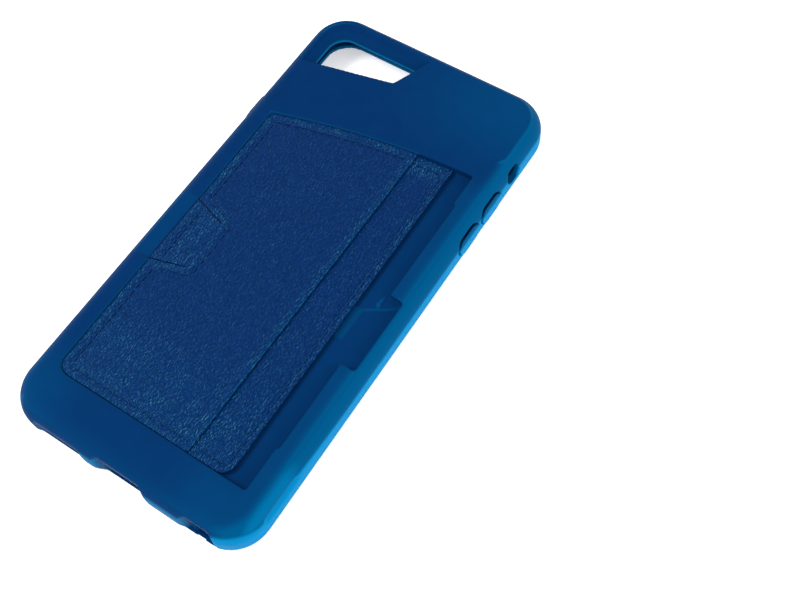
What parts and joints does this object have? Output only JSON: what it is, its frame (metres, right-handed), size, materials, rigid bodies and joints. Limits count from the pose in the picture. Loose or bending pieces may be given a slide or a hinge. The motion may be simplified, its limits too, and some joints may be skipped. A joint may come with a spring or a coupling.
{
  "type": "phone wallet case",
  "caption": "Moulded phone case with a raised back, a stitched leatherette card and cash pocket, a thumb tongue, side buttons and a camera window.",
  "frame": {"origin": "centre of the front lip plane that the case lies on, under the middle of the case", "axes": "+Z from the phone opening to the wallet on the back, +Y to the camera end, +X to the side with the volume buttons and the card pocket's mouth"},
  "size_m": [0.0834, 0.1634, 0.0128],
  "materials": {
    "tpu_shell": "soft satin",
    "tpu_button": "soft satin",
    "leatherette": "fine pebble grain, semi-matt",
    "lining": "fine plain weave",
    "thread": "twisted polyester thread",
    "film": "adhesive film"
  },
  "bodies": {
    "case": {"shell": "tpu_shell", "bonding_film": "film", "card_pocket_lining": "lining", "card_pocket_panel": "leatherette", "cash_pocket_lining": "lining", "cash_pocket_panel": "leatherette", "border_stitching": "thread", "tongue_stitching": "thread", "card_edge_stitching": "thread"},
    "volume_up": {"volume_up_button": "tpu_button"},
    "volume_down": {"volume_down_button": "tpu_button"},
    "power": {"power_button": "tpu_button"},
    "tongue": {"thumb_tongue": "leatherette", "tongue_lining": "lining", "tongue_end_stitching": "thread"}
  },
  "joints": [
    {"name": "volume_up_press", "type": "slide", "parent": "case", "child": "volume_up", "axis": [-1, 0, 0], "range_m": [0, 0.0005], "stiffness_N_per_m": 3000},
    {"name": "volume_down_press", "type": "slide", "parent": "case", "child": "volume_down", "axis": [-1, 0, 0], "range_m": [0, 0.0005], "stiffness_N_per_m": 3000},
    {"name": "power_press", "type": "slide", "parent": "case", "child": "power", "axis": [1, 0, 0], "range_m": [0, 0.0005], "stiffness_N_per_m": 3000},
    {"name": "tongue_lift", "type": "hinge", "parent": "case", "child": "tongue", "pos_m": [-0.022, -0.0136, 0.0123], "axis": [0, 1, 0], "range_deg": [0, 25], "stiffness_Nm_per_rad": 0.002}
  ]
}
